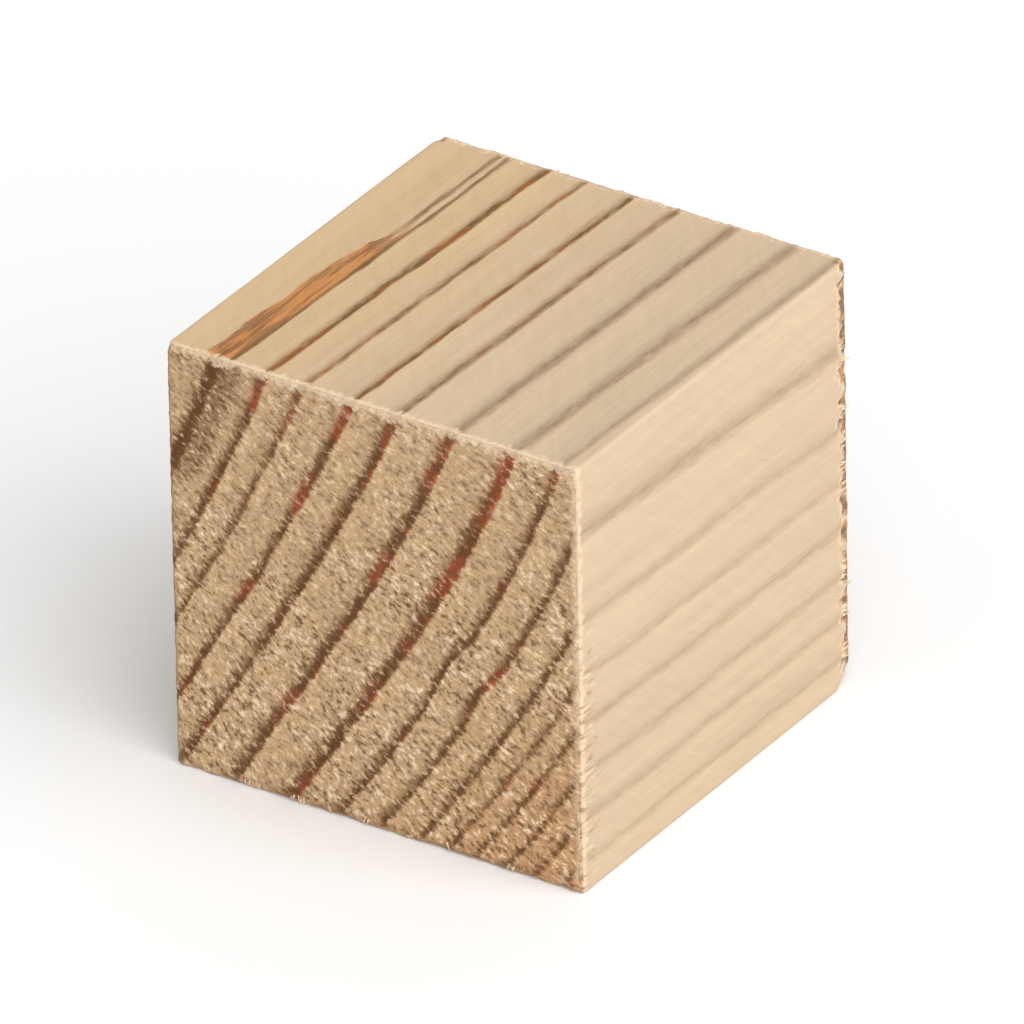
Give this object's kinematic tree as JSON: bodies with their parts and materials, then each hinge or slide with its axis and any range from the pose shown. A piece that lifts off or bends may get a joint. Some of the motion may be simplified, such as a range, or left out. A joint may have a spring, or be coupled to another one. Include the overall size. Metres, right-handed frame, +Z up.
{
  "type": "wooden cube",
  "caption": "Small solid pine cube with sawn end grain at front and back, eased edges and one broken lower corner.",
  "frame": {"origin": "middle of the underside, where the block rests", "axes": "+Z up; +Y with the grain, away from the front end grain; +X to the right, across the grain"},
  "size_m": [0.02, 0.0206, 0.02],
  "materials": {
    "pine": "matte"
  },
  "bodies": {
    "root": {"wooden_cube": "pine"}
  },
  "joints": []
}
